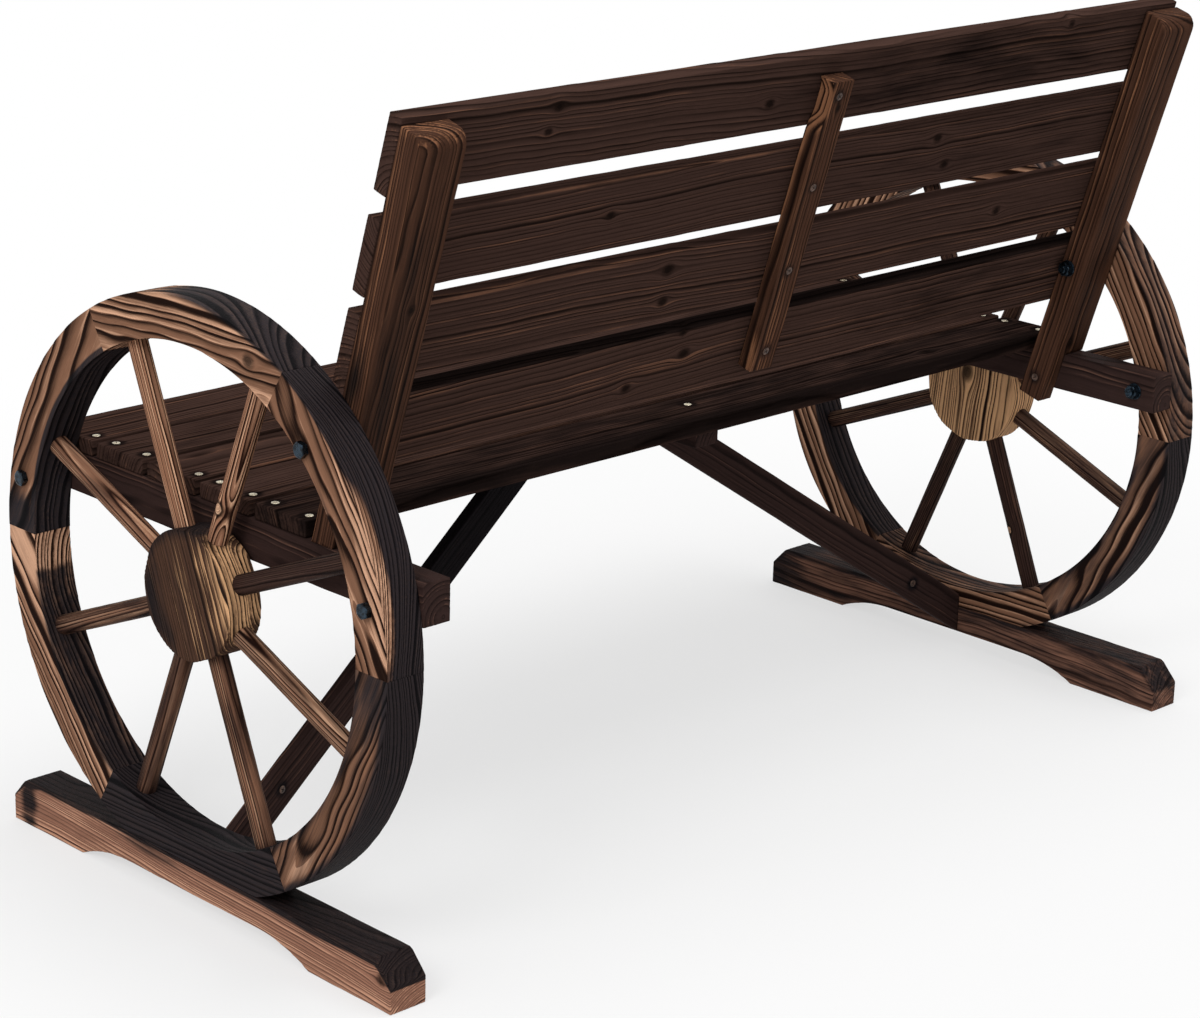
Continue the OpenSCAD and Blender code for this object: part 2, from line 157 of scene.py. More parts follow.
class Finish:
    """Builds a material, or the sky, node by node."""

    def __init__(self, name, tree=None):
        if tree is None:
            self.material = bpy.data.materials.new(name)
            self.material.use_nodes = True
            tree = self.material.node_tree
        self.tree = tree
        self.tree.nodes.clear()

    def add(self, kind, settings=None, sockets=None, output=0):
        """Adds a node with its settings and what feeds its sockets, and gives one output."""
        node = self.tree.nodes.new("ShaderNode" + kind)
        for name, setting in (settings or {}).items():
            setattr(node, name, setting)
        for name, given in (sockets or {}).items():
            if isinstance(given, Value):
                self.tree.links.new(given.socket, node.inputs[name])
            else:
                node.inputs[name].default_value = given
        return Value(self, node.outputs[output]) if node.outputs else node

    def attribute(self, name):
        vector = self.add("Attribute", {"attribute_name": name}, output="Vector")
        return [self.add("SeparateXYZ", None, {0: vector}, output=n) for n in range(3)]

    def blend(self, factor, first, second):
        """The first colour where the factor is 0, the second where it is 1."""
        settings = {"data_type": "RGBA", "clamp_factor": True}
        sockets = {MIX_FACTOR: factor, MIX_FIRST: first, MIX_SECOND: second}
        return self.add("Mix", settings, sockets, output=MIX_COLOUR)

    def shade(self, colour, amount):
        """Makes a colour lighter or darker."""
        grey = self.point(amount, amount, amount)
        return self.add("VectorMath", {"operation": "MULTIPLY"}, {0: colour, 1: grey})

    def rise(self, x, low, high):
        """0 up to the low value, 1 from the high one on, and smooth between them."""
        settings = {"interpolation_type": "SMOOTHSTEP"}
        return self.add("MapRange", settings, {"Value": x, "From Min": low, "From Max": high})

    def point(self, x, y, z):
        return self.add("CombineXYZ", None, {0: x, 1: y, 2: z})

    def noise(self, place, scale, detail, roughness=0.5):
        sockets = {"Vector": place, "Scale": scale, "Detail": detail, "Roughness": roughness}
        return self.add("TexNoise", None, sockets)

    def bump(self, height, depth, strength):
        sockets = {"Strength": strength, "Distance": depth, "Height": height}
        return self.add("Bump", None, sockets)

    def finish_with(self, sockets):
        surface = self.add("BsdfPrincipled", None, sockets)
        self.add("OutputMaterial", None, {"Surface": surface})
        return self.material


# How deep the finest marks of each surface are, in metres
GRAIN_DEPTH = 0.0007
STEEL_DEPTH = 0.0002
DOWEL_DEPTH = 0.0003


def scorched_wood(name, early, late, tan, char, contrast, gloss, knot_dark, shine):
    """Fir that was burnt with a torch, brushed along the grain and oiled.

    Its colours are those of the soft wood, the hard lines, the lightest wood and the char.
    """
    early, late, tan, char = (srgb(*colour) for colour in (early, late, tan, char))
    f = Finish("scorched_" + name)
    along, v, w = f.attribute("grain")
    char_and_shade, bright, knot = f.attribute("burn_and_light")
    years = tree_years(v, w)
    season = fraction(years)
    line = late_wood(years)
    fresh = power(1 - season, 5.0)
    one_year = f.add("TexWhiteNoise", {"noise_dimensions": "1D"}, {"W": years - season})

    def fibres(lengthwise, across, detail, roughness=0.55):
        """Noise drawn out along the grain, as finely across it as the numbers say."""
        place = f.point(along * lengthwise, v * across, w * across)
        return f.noise(place, 1.0, detail, roughness)

    band = fibres(0.004, 0.35, 2.0)
    streak = fibres(0.011, 1.7, 4.0, 0.6)
    strand = fibres(0.03, 7.0, 4.0, 0.65)
    hair = fibres(0.12, 26.0, 2.0)
    patch = fibres(0.013, 0.3, 3.0)

    # The hard lines are dark, some years more than others, and so are single fibres
    dark = line * (0.6 + one_year * 0.55) * contrast
    dark = dark + (strand - 0.5) * 0.6 + (streak - 0.5) * 0.5 + (band - 0.5) * 0.7
    wood = f.blend(f.rise(dark, 0.0, 0.8), early, late)

    # The soft wood is lightest where the torch did least and where painted highlights and painted
    # light raise the brightness, and never on a dark line
    glow = bright + fresh * 0.3 + (streak - 0.5) * 1.3
    glow = glow + (one_year - 0.5) * 0.5 + (band - 0.5) * 0.9
    glow = f.rise(glow, 0.35, 0.95) * (1 - f.rise(dark, 0.12, 0.6))
    wood = f.blend(glow, wood, tan)

    # Char lies in patches, and is lighter over the soft wood than over the lines; the char value
    # also carries painted shade in a few places
    soot = char_and_shade + (patch - 0.5) * 0.75 + (streak - 0.5) * 0.5
    soot = f.rise(soot, 0.22, 0.85)
    sooty = f.shade(char[:3], 1.7 - f.rise(dark, 0.0, 0.8) * 1.3)
    wood = f.blend(soot * (0.96 + (strand - 0.5) * 0.35), wood, sooty)

    # A bright knot is a disc with fine rings and a dark rim, and a burnt one is a dark smudge
    inside = (1 - f.rise(knot, 0.82, 1.0)) * (1 - knot_dark)
    rim = f.rise(knot, 0.62, 0.95) * (1 - f.rise(knot, 1.0, 1.55)) * (1 - knot_dark)
    knot_rings = 0.5 + 0.5 * sine(knot * 21 + strand * 5)
    wood = f.blend(inside * 0.8, wood, f.blend(knot_rings * 0.6 + 0.1, tan, late))
    wood = f.blend(rim * 0.85, wood, srgb(20, 13, 10))
    smudge = 1 - f.rise(knot + (strand - 0.5) * 0.9, 0.45, 1.4)
    wood = f.blend(smudge * knot_dark, wood, srgb(15, 11, 10))

    # The brush left fine fibres, each with its own tone, height and gloss
    fine = (strand - 0.5) * 0.8 + (hair - 0.5) * 0.45
    wood = f.shade(wood, 0.88 + fine + (band - 0.5) * 0.6)
    height = line * 0.5 * (1 - soot * 0.4) + strand * 0.55 + hair * 0.35
    rough = gloss + 0.16 + (strand - 0.5) * 0.3 - soot * 0.1
    return f.finish_with({"Base Color": wood, "Roughness": rough, "Specular IOR Level": shine,
                          "Normal": f.bump(height, GRAIN_DEPTH, 0.6)})


def steel(name, colour, dirt, rough, metal=0.9):
    """Metal with soft blotches, handling marks and a little dirt."""
    f = Finish(name)
    place = f.add("TexCoord", output="Object")
    colour, dirt = srgb(*colour), srgb(*dirt)
    blotch = f.noise(place, 260.0, 4.0)
    grit = f.noise(place, 1900.0, 3.0)
    tone = f.rise(blotch, 0.36, 0.66)
    colour = f.shade(f.blend(tone, colour, dirt), 0.75 + grit * 0.5)
    rough = rough + (grit - 0.5) * 0.4
    return f.finish_with({"Base Color": colour, "Metallic": metal, "Roughness": rough,
                          "Normal": f.bump(grit + blotch, STEEL_DEPTH, 0.4)})


def plain_dowel_wood():
    """Clean beech of the hidden dowels."""
    f = Finish("dowel_beech")
    place = f.add("TexCoord", output="Object")
    flecks = f.noise(place, 420.0, 4.0)
    cloud = f.noise(place, 60.0, 2.0)
    wood = f.blend(f.rise(flecks, 0.4, 0.65), srgb(206, 172, 130), srgb(164, 124, 84))
    wood = f.shade(wood, 0.8 + cloud * 0.4)
    rough = 0.55 + (flecks - 0.5) * 0.3
    return f.finish_with({"Base Color": wood, "Roughness": rough,
                          "Normal": f.bump(flecks, DOWEL_DEPTH, 0.3)})


# Four colours of each wood, then its contrast, its gloss, how dark its knots are, and its shine
WOOD_LOOKS = {
    "slat": ((67, 49, 43), (26, 18, 15), (110, 77, 60), (18, 13, 12), 0.9, 0.42, 0.85, 0.0),
    "post": ((74, 49, 37), (25, 15, 11), (134, 92, 66), (16, 14, 14), 1.0, 0.48, 0.85, 0.015),
    "frame": ((55, 40, 37), (23, 16, 15), (100, 72, 60), (12, 10, 12), 0.8, 0.5, 0.85, 0.015),
    "rim": ((132, 95, 74), (29, 16, 11), (208, 162, 132), (29, 27, 30), 1.5, 0.48, 0.8, 0.015),
    "hub": ((78, 55, 43), (30, 20, 16), (216, 168, 124), (24, 20, 21), 1.0, 0.46, 0.8, 0.015),
    "spoke": ((158, 113, 88), (38, 21, 15), (238, 190, 154), (38, 26, 24), 1.4, 0.4, 0.0, 0.015),
    "foot": ((156, 112, 92), (62, 42, 36), (208, 158, 130), (18, 18, 21), 1.0, 0.44, 0.85, 0.015),
}
WOODS = {part + "_wood": scorched_wood(part, *look) for part, look in WOOD_LOOKS.items()}
BLACK_STEEL = steel("blued_steel", (46, 60, 72), (18, 23, 28), 0.28)
BRIGHT_STEEL = steel("zinc_steel", (208, 198, 174), (150, 138, 116), 0.3)
BROWNED_STEEL = steel("browned_steel", (92, 70, 58), (34, 25, 22), 0.42, 0.6)
DOWEL_WOOD = plain_dowel_wood()


# Measuring the frame


SAME_PLACE = 1e-6


def rows(*axes):
    """Directions as the rows of an array, each of length 1."""
    return np.array([Vector(a).normalized() for a in axes], float)


def vectors(layer, name):
    """The vectors that a layer of a mesh holds, as the rows of an array."""
    flat = np.empty(len(layer) * 3)
    layer.foreach_get(name, flat)
    return flat.reshape(-1, 3)


def points_of(mesh):
    return vectors(mesh.vertices, "co")


def move_points(mesh, places):
    """Moves the points of a mesh to places given in millimetres."""
    mesh.vertices.foreach_set("co", (places * MM).ravel())


def measure(node, axes):
    """Middle and size of a CAD node along three axes, in millimetres."""
    spans = points_of(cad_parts[node].data) / MM @ axes.T
    low, high = spans.min(0), spans.max(0)
    return (low + high) / 2 @ axes, high - low


def islands(node):
    """The separate solids of a CAD node, each as an array of its points in millimetres."""
    mesh = bmesh.new()
    mesh.from_mesh(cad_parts[node].data)
    bmesh.ops.remove_doubles(mesh, verts=mesh.verts, dist=SAME_PLACE)
    waiting = set(mesh.verts)
    found = []
    while waiting:
        front = [waiting.pop()]
        island = []
        while front:
            vert = front.pop()
            island.append(vert.co / MM)
            for edge in vert.link_edges:
                other = edge.other_vert(vert)
                if other in waiting:
                    waiting.remove(other)
                    front.append(other)
        found.append(np.array(island))
    mesh.free()
    return sorted(found, key=lambda island: tuple(island.mean(0).round(1)))


# How a piece lay in its tree, where it was burnt, and where highlight and shade are painted on


# How a trunk sways: each wave's length in millimetres and its share
TRUNK_WAVES = ((870, 1.0), (390, 0.45), (160, 0.16), (61, 0.05))
SWAY_THROUGH = 0.6
WAVE_STARTS = 14

# A knot bends the rings over so many of its own sizes along the piece and across it
KNOT_LENGTH = 2.6
KNOT_WIDTH = 1.5
KNOT_BEND = 0.9
KNOT_STRETCH = 1.15
NO_KNOT = 9.0

# Pieces lie far apart in the noise, so that no two look the same
NOISE_APART = 1000
ARRIS_RUB_AND_HIGHLIGHT = 0.3
DAB_FADE = 1.5


@dataclass
class Timber:
    """How wide a piece's rings are, where its pith lies, how it tilts and sways, and its knots."""

    seed: int
    ring: float
    pith: tuple
    tilt: tuple
    sway: float
    knots: tuple = ()
    ripple: float = 0.07

    def __post_init__(self):
        random = np.random.default_rng(self.seed)
        self.starts = random.uniform(0, 2 * math.pi, WAVE_STARTS)

    def grain(self, points):
        """Millimetres along the trunk and ring widths out from the pith, for each point."""
        u, v, w = points.T
        starts = iter(self.starts)
        lean = [0, 0]
        for side in range(2):
            for wave, share in TRUNK_WAVES:
                turn = 2 * math.pi * u / wave + next(starts)
                lean[side] = lean[side] + self.sway * share * np.sin(turn)
        bent = v.copy()
        for ku, kv, size in self.knots:
            near = np.hypot((u - ku) / (KNOT_LENGTH * size), (v - kv) / (KNOT_WIDTH * size))
            bent = bent - (bent - kv) / (1 + near ** 4) * KNOT_BEND
        ripple = np.sin(u / 21 + v / 5 + next(starts))
        ripple = ripple + 0.8 * np.sin(u / 9 - v / 7 + w / 6 + next(starts))
        out_v = (bent + self.pith[0] + self.tilt[0] * u + lean[0]) / self.ring
        out_w = (w + self.pith[1] + self.tilt[1] * u + SWAY_THROUGH * lean[1]) / self.ring
        out_w = out_w + self.ripple * ripple
        return np.stack([u + NOISE_APART * self.starts[0], out_v, out_w], 1)

    def knot_field(self, points):
        """How far each point is from the nearest knot, in that knot's own radius."""
        field = np.full(len(points), NO_KNOT)
        for ku, kv, size in self.knots:
            far = np.hypot((points[:, 0] - ku) / KNOT_STRETCH, points[:, 1] - kv)
            field = np.minimum(field, far / size)
        return field


@dataclass
class BurnAndPaintedLight:
    """How charred and how bright a piece is: all over, at its arrises and ends, and in dabs. Its
    lighter arrises are partly wear and partly a painted highlight, and a few of its char dabs are
    painted shade.

    A dab is its middle, its reach along, across and through the piece, and its strength.
    """

    char: float
    bright: float
    char_and_shade_dabs: tuple = ()
    bright_dabs: tuple = ()
    arris: float = 0.3
    end_char: float = 0.0

    def field(self, points, arris, end):
        # Arrises lose char and get lighter: partly wear, partly a painted highlight
        char = self.char - ARRIS_RUB_AND_HIGHLIGHT * self.arris * arris + self.end_char * end
        char = char + dabs(points, self.char_and_shade_dabs)
        bright = self.bright + self.arris * arris + dabs(points, self.bright_dabs)
        return char, bright


def dabs(points, list_of_dabs):
    """The strengths of the dabs at each point, added up."""
    total = np.zeros(len(points))
    for middle, reach, strength in list_of_dabs:
        far = np.linalg.norm((points - middle) / reach, axis=1)
        total += strength * np.clip(DAB_FADE - DAB_FADE * far, 0, 1)
    return total


# Making pieces

# An edge lies along an axis if it is hardly longer than its run along it
STRAIGHT = 1.0001


def cut_finely(mesh, counts, shortest):
    """Cuts the long edges of a block so that each axis has so many steps."""
    for axis, count in enumerate(counts):
        long_edges = []
        for edge in mesh.edges:
            run = edge.verts[1].co - edge.verts[0].co
            if abs(run[axis]) > shortest and run.length < abs(run[axis]) * STRAIGHT:
                long_edges.append(edge)
        bmesh.ops.subdivide_edges(mesh, edges=long_edges, cuts=count - 1, use_grid_fill=True)


def block(size, counts, ease, faces_only=False):
    """A block round the origin, eased along all its edges, or those of its faces along Z."""
    mesh = bmesh.new()
    bmesh.ops.create_cube(mesh, size=1)
    bmesh.ops.scale(mesh, vec=size, verts=mesh.verts)
    eased = mesh.edges[:]
    if faces_only:
        eased = [e for e in eased if abs(e.verts[0].co.z - e.verts[1].co.z) < SAME_PLACE]
    bmesh.ops.bevel(mesh, geom=eased, affect="EDGES", offset=ease, offset_type="OFFSET",
                    segments=2, profile=0.5, material=-1)
    cut_finely(mesh, counts, 3 * ease)
    return mesh


def rod(length, diameter, sides, steps, rings, turn=Matrix()):
    """A round rod round the origin, along Z until it is turned, with rings cut in its ends."""
    radius = diameter / 2
    mesh = bmesh.new()
    bmesh.ops.create_cone(mesh, cap_ends=True, segments=sides, radius1=radius, radius2=radius,
                          depth=length, matrix=turn)
    for cap in [f for f in mesh.faces if len(f.verts) == sides]:
        for share in rings:
            bmesh.ops.inset_region(mesh, faces=[cap], thickness=radius * share)
    long_edges = [e for e in mesh.edges if e.calc_length() > length * 0.9]
    bmesh.ops.subdivide_edges(mesh, edges=long_edges, cuts=steps - 1, use_grid_fill=True)
    return mesh


def to_mesh(name, made):
    mesh = bpy.data.meshes.new(name)
    made.to_mesh(mesh)
    made.free()
    return mesh


def edges_of(points, size, reach):
    """1 on a long arris, falling to 0 inside a face."""
    depth = np.sort(size[1:] / 2 - np.abs(points[:, 1:]), axis=1)
    return np.exp(-np.maximum(depth[:, 1], 0) / reach)


def add_attribute(mesh, name, columns):
    layer = mesh.attributes.new(name, "FLOAT_VECTOR", "POINT")
    layer.data.foreach_set("vector", np.stack(columns, 1).astype(np.float32).ravel())


def add_piece(name, mesh, material, nodes):
    piece = bpy.data.objects.new(name, mesh)
    scene.collection.objects.link(piece)
    mesh.materials.append(material)
    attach(piece, "root")
    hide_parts(*nodes)


# How far in the wear of edges and ends, and the wear and painted highlight of arrises, reaches, in
# millimetres
EDGE_REACH = 4.0
ARRIS_REACH = 1.1
END_REACH = 20

# How much more the brush takes at edges, and how much less from char and knots
EDGE_WEAR = 0.25
CHAR_LEVEL = 0.6
KNOT_RIM = 0.7
KNOT_RELIEF = 0.15

# The hollow round a screw's head, and how much darker and duller it is
HEAD_REACH = 5.4
HEAD_HOLLOW = 0.65
HEAD_CHAR = 0.5
HEAD_DULL = 0.3


def wooden(node, mesh, axes, middle, size, timber, burn_and_light, slot, shape=None, depth=0.4, wear=0.8,
           end_relief=0.3):
    """Shapes a block into a wooden piece, brushes its soft wood back and notes grain, burns and
    painted highlight and shade.
    """
    block_points = points_of(mesh)
    points = block_points
    lengthwise = np.tile((1.0, 0.0, 0.0), (len(points), 1))
    if shape:
        points = shape(block_points)
        lengthwise = shape(block_points + (0.5, 0, 0)) - shape(block_points - (0.5, 0, 0))
        lengthwise /= np.maximum(np.linalg.norm(lengthwise, axis=1), 1e-9)[:, None]
    place = middle + points @ axes
    move_points(mesh, place)
    if np.linalg.det(axes) < 0:
        mesh.flip_normals()
    mesh.update()
    outward = vectors(mesh.vertex_normals, "vector")
    lengthwise = lengthwise @ axes
    outward = outward - (1 - end_relief) * (outward * lengthwise).sum(1)[:, None] * lengthwise

    grain = timber.grain(points)
    line = late_wood(tree_years(grain[:, 1], grain[:, 2]))
    edge = edges_of(block_points, size, EDGE_REACH)
    arris = edges_of(block_points, size, ARRIS_REACH)
    end = np.clip(1 - (size[0] / 2 - np.abs(block_points[:, 0])) / END_REACH, 0, 1)
    char, bright = burn_and_light.field(block_points, arris, end)
    soft = (1 - line) * depth * (1 + wear * edge) + EDGE_WEAR * depth * edge
    soft = soft * (1 - CHAR_LEVEL * np.clip(char, 0, 1))
    knot = timber.knot_field(points)
    soft = soft * np.clip(knot - KNOT_RIM, KNOT_RELIEF, 1)
    low, high = place.min(0) - 1, place.max(0) + 1
    hollow = np.zeros(len(points))
    for head in SCREW_HEADS:
        if (head > low).all() and (head < high).all():
            far = np.linalg.norm(place - head, axis=1)
            hollow = np.maximum(hollow, np.clip(2.0 - far / HEAD_REACH, 0, 1))
    soft = np.maximum(soft, HEAD_HOLLOW * hollow)
    move_points(mesh, place - soft[:, None] * outward)

    add_attribute(mesh, "grain", grain.T)
    add_attribute(mesh, "burn_and_light", (char + HEAD_CHAR * hollow, bright - HEAD_DULL * hollow, knot))
    mesh.shade_smooth()
    mesh.update()
    add_piece(node + "_wood", mesh, WOODS[slot], [node])


def board(node, axes, timber, burn_and_light, slot, step=(4.0, 1.3), ease=1.3, cutter=None, **more):
    """A straight board that fills its CAD node's place."""
    middle, size = measure(node, axes)
    counts = [max(2, round(size[0] / step[0]))] + [max(2, round(s / step[1])) for s in size[1:]]
    mesh = to_mesh(node, block(size, counts, ease))
    if cutter:
        mesh = cut_away(mesh, cutter(middle, size))
    wooden(node, mesh, axes, middle, size, timber, burn_and_light, slot, **more)


def cut_away(mesh, cutter):
    """The mesh less the cutter, both in the piece's own place."""
    whole = bpy.data.objects.new("whole", mesh)
    tool = bpy.data.objects.new("tool", to_mesh("tool", cutter))
    for thing in (whole, tool):
        scene.collection.objects.link(thing)
    cut = whole.modifiers.new("cut", "BOOLEAN")
    cut.object = tool
    cut.solver = "EXACT"
    graph = bpy.context.evaluated_depsgraph_get()
    done = bpy.data.meshes.new_from_object(whole.evaluated_get(graph))
    for thing in (whole, tool):
        bpy.data.objects.remove(thing)
    return done


# Places that the frame gives

BACK_LEAN = math.radians(16.75)
UP_BACK = (0, math.sin(BACK_LEAN), math.cos(BACK_LEAN))
BEHIND_BACK = (0, math.cos(BACK_LEAN), -math.sin(BACK_LEAN))
LYING = rows((1, 0, 0), (0, 1, 0), (0, 0, 1))
LEANING = rows((1, 0, 0), UP_BACK, BEHIND_BACK)
STANDING = rows(UP_BACK, (1, 0, 0), BEHIND_BACK)
FRONT_TO_BACK = rows((0, 1, 0), (0, 0, 1), (1, 0, 0))
ACROSS_MIDDLE = rows((0, 1, 0), (1, 0, 0), (0, 0, 1))
SIDES = {"left": 1, "right": -1}

rail_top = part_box("left_rail")[1].z / MM
seat_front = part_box("seat_slat_1")[0].y / MM
seat_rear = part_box("seat_slat_5")[1].y / MM
centre_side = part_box("centre_rail")[1].x / MM
centre_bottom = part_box("centre_rail")[0].z / MM
wheel_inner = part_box("left_brace")[1].x / MM
brace_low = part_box("left_brace")[0].z / MM


def brace_axes(sign):
    """Along a brace, from its wheel to the centre rail, then across it and through it."""
    wheel_end = Vector((sign * wheel_inner, 0, brace_low))
    seat_end = Vector((sign * centre_side, (seat_front + seat_rear) / 2, centre_bottom))
    along = (seat_end - wheel_end).normalized()
    flat = Vector((0, 0, 1)).cross(along).normalized()
    return rows(along, along.cross(flat), flat)


def screw_way(node, sign):
    """Which way the screws of a node point, on one side of the bench."""
    if node == "brace_screws":
        flat = Vector(brace_axes(sign)[2])
        return -flat if flat.y > 0 else flat
    ways = {
        "seat_screws": (0, 0, -1),
        "foot_screws": (0, 0, 1),
        "post_screws": (sign, 0, 0),
        "back_slat_screws": BEHIND_BACK,
        "batten_screws": tuple(-c for c in BEHIND_BACK),
    }
    return Vector(ways[node])


HEAD_SINK = 0.12
SCREW_NODES = ("seat_screws", "back_slat_screws", "batten_screws", "foot_screws", "post_screws",
               "brace_screws")
SCREWS = {}
for node in SCREW_NODES:
    SCREWS[node] = []
    for island in islands(node):
        way = screw_way(node, 1 if island.mean(0)[0] > 0 else -1)
        depths = island @ np.array(way)
        top = island.mean(0) + np.array(way) * (depths.min() - depths.mean() - HEAD_SINK)
        SCREWS[node].append((way, top, np.ptp(depths)))
SCREW_HEADS = [top for found in SCREWS.values() for way, top, length in found]


# Seat, back and frame

SLAT_RELIEF = 0.35
SEAT_TIMBER = [
    Timber(11, 4.6, (52, 26), (0.008, 0.004), 2.5, ((-210, 12, 6),)),
    Timber(12, 4.0, (-64, 22), (0.01, 0.0), 2.0, ((150, -9, 5),)),
    Timber(13, 5.2, (30, 34), (-0.012, 0.01), 3.0, ((320, 14, 5), (-60, -18, 5))),
    Timber(14, 3.8, (-70, 30), (0.006, 0.006), 2.0),
    Timber(15, 4.4, (58, 24), (0.01, -0.006), 2.5, ((-330, 8, 6),)),
]
BACK_TIMBER = [
    Timber(21, 4.2, (-56, -24), (0.012, 0.0), 2.5, ((104, 30, 4), (96, 7, 6), (163, -17, 5))),
    Timber(22, 3.9, (66, -28), (-0.008, 0.006), 2.5, ((144, -16, 5), (-316, 6, 5), (148, 17, 6))),
    Timber(23, 3.6, (-62, -30), (0.006, 0.0), 2.0, ((241, 0, 4), (-186, 17, 5), (-208, -13, 5))),
    Timber(24, 4.4, (48, -26), (-0.012, 0.0), 3.0,
           ((336, 24, 4), (342, 2, 4), (72, -6, 5), (-342, 28, 4))),
]
# Painted shade: a darker band along the rear of the last seat slat's top, under the back slats, set
# as char
SHADE_UNDER_BACK = ((0, 35, 7), (1200, 16, 14), 0.3)
SEAT_BURNS = [BurnAndPaintedLight(0.3, 0.16), BurnAndPaintedLight(0.4, 0.1), BurnAndPaintedLight(0.3, 0.18), BurnAndPaintedLight(0.35, 0.12),
              BurnAndPaintedLight(0.62, 0.08, (SHADE_UNDER_BACK,))]
RIGHT_HALF = ((-260, 0, 8), (320, 70, 14), 0.24)
UPPER_EDGE = ((0, 36, 0), (1200, 6, 40), 1.2)
BACK_BURNS = [
    BurnAndPaintedLight(0.08, 0.18, (RIGHT_HALF, UPPER_EDGE, ((-330, 0, 8), (220, 40, 12), 0.15)),
         (((120, 5, 8), (160, 20, 8), 0.2),)),
    BurnAndPaintedLight(0.06, 0.2, (RIGHT_HALF, ((330, 0, 8), (120, 40, 12), 0.1)),
         (((330, 34, 8), (200, 5, 6), 0.4),)),
    BurnAndPaintedLight(0.14, 0.12, (RIGHT_HALF,), (((240, 35, 8), (260, 5, 6), 0.45),)),
    BurnAndPaintedLight(0.22, 0.1, (RIGHT_HALF, ((-100, 0, 8), (300, 40, 12), 0.12)),
         (((-330, 10, 8), (160, 22, 8), 0.12),)),
]
for part, axes, timbers, burns in (("seat_slat", LYING, SEAT_TIMBER, SEAT_BURNS),
                                   ("back_slat", LEANING, BACK_TIMBER, BACK_BURNS)):
    for number, (timber, burn_and_light) in enumerate(zip(timbers, burns), 1):
        board(f"{part}_{number}", axes, timber, burn_and_light, "slat_wood", depth=SLAT_RELIEF)

POST_ROUND = 13.5


def round_top_corner(size):
    """Rounds the rear corner on the top of a post."""
    centre_up = size[0] / 2 - POST_ROUND
    centre_back = size[2] / 2 - POST_ROUND

    def shape(points):
        shaped = points.copy()
        p = (points[:, 0] - centre_up) / POST_ROUND
        q = (points[:, 2] - centre_back) / POST_ROUND
        corner = (p > 0) & (q > 0)
        shrink = np.maximum(p, q)[corner] / np.hypot(p, q)[corner]
        shaped[corner, 0] = centre_up + p[corner] * shrink * POST_ROUND
        shaped[corner, 2] = centre_back + q[corner] * shrink * POST_ROUND
        return shaped
    return shape


NOTCH_BLOCK = 200


def rail_notch(side):
    """Cuts a post away over its rail, all but the tongue on the rail's inner side."""
    def cutter(middle, size):
        sign = SIDES[side]
        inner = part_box(side + "_rail")[0 if sign > 0 else 1].x / MM
        half = NOTCH_BLOCK / 2
        corner = (inner + sign * half, middle[1], rail_top - half)
        mesh = bmesh.new()
        bmesh.ops.create_cube(mesh, size=NOTCH_BLOCK)
        bmesh.ops.translate(mesh, vec=corner, verts=mesh.verts)
        bmesh.ops.translate(mesh, vec=-Vector(middle), verts=mesh.verts)
        bmesh.ops.transform(mesh, matrix=Matrix(STANDING.tolist()), verts=mesh.verts)
        bmesh.ops.recalc_face_normals(mesh, faces=mesh.faces)
        return mesh
    return cutter


# Where the batten is drawn in, measured down from its top, and by how much
DRAWN_END = 52
DRAWN_RUN = 22
DRAWN_START = 0.35
DRAWN_RISE = 20
DRAWN_IN = 5.0


def narrow_batten_top(size):
    """Draws in the left side of the batten below its top, where a knot was cut out."""
    def shape(points):
        shaped = points.copy()
        below = size[0] / 2 - points[:, 0]
        drawn = np.clip((DRAWN_END - below) / DRAWN_RUN, 0, 1)
        drawn = drawn * np.clip(DRAWN_START + below / DRAWN_RISE, 0, 1)
        side = np.clip(points[:, 1] / size[1] * 2, 0, 1)
        shaped[:, 1] -= DRAWN_IN * drawn ** 2 * (3 - 2 * drawn) * side
        return shaped
    return shape


POSTS = {
    "left": (Timber(31, 3.6, (-30, -46), (0.0, 0.02), 1.5, ((60, -4, 4),)),
             BurnAndPaintedLight(0.1, 0.16, (((-20, 26, -4), (60, 12, 14), 0.6), ((0, 4, 14), (300, 40, 6), 0.4)),
                  (((60, 26, 0), (200, 10, 20), 0.15), ((215, 0, 0), (8, 60, 40), 0.35)))),
    "right": (Timber(32, 3.9, (26, 50), (0.01, 0.0), 1.5, ((-150, 4, 4),)),
              BurnAndPaintedLight(0.14, 0.12, (((0, 4, 14), (300, 40, 6), 0.3),),
                   (((150, 26, 0), (120, 8, 20), 0.2),))),
}
for side, (timber, burn_and_light) in POSTS.items():
    node = side + "_post"
    size = measure(node, STANDING)[1]
    board(node, STANDING, timber, burn_and_light, "post_wood", step=(4.0, 1.2),
          shape=round_top_corner(size), cutter=rail_notch(side))

BATTEN_TIMBER = Timber(33, 3.3, (30, 24), (0.01, 0.0), 1.5, ((122, -2, 3.5),))
BATTEN_DABS = (((125, 15, 0), (34, 7, 14), 0.8), ((-135, 15, 4), (30, 6, 10), 0.55),
               ((-100, 2, 9), (60, 3, 3), 0.3))
batten_size = measure("back_batten", STANDING)[1]
board("back_batten", STANDING, BATTEN_TIMBER, BurnAndPaintedLight(0.08, 0.22, (), BATTEN_DABS, arris=0.5),
      "post_wood", step=(3.0, 1.0), ease=1.0, shape=narrow_batten_top(batten_size))

for seed, side in enumerate(SIDES, 41):
    board(side + "_rail", FRONT_TO_BACK, Timber(seed, 4.8, (9, 6), (0.01, 0.0), 2.0),
          BurnAndPaintedLight(0.15, 0.12), "frame_wood", step=(4.0, 1.2))
board("centre_rail", ACROSS_MIDDLE, Timber(43, 4.5, (30, 20), (0.0, 0.0), 2.0), BurnAndPaintedLight(0.3, 0.05),
      "frame_wood", step=(5.0, 1.6))


BRACE_SPARE = 60
BRACE_STEPS = (170, 28, 9)
BRACE_EASE = 1.2
BRACE_RELIEF = 0.3


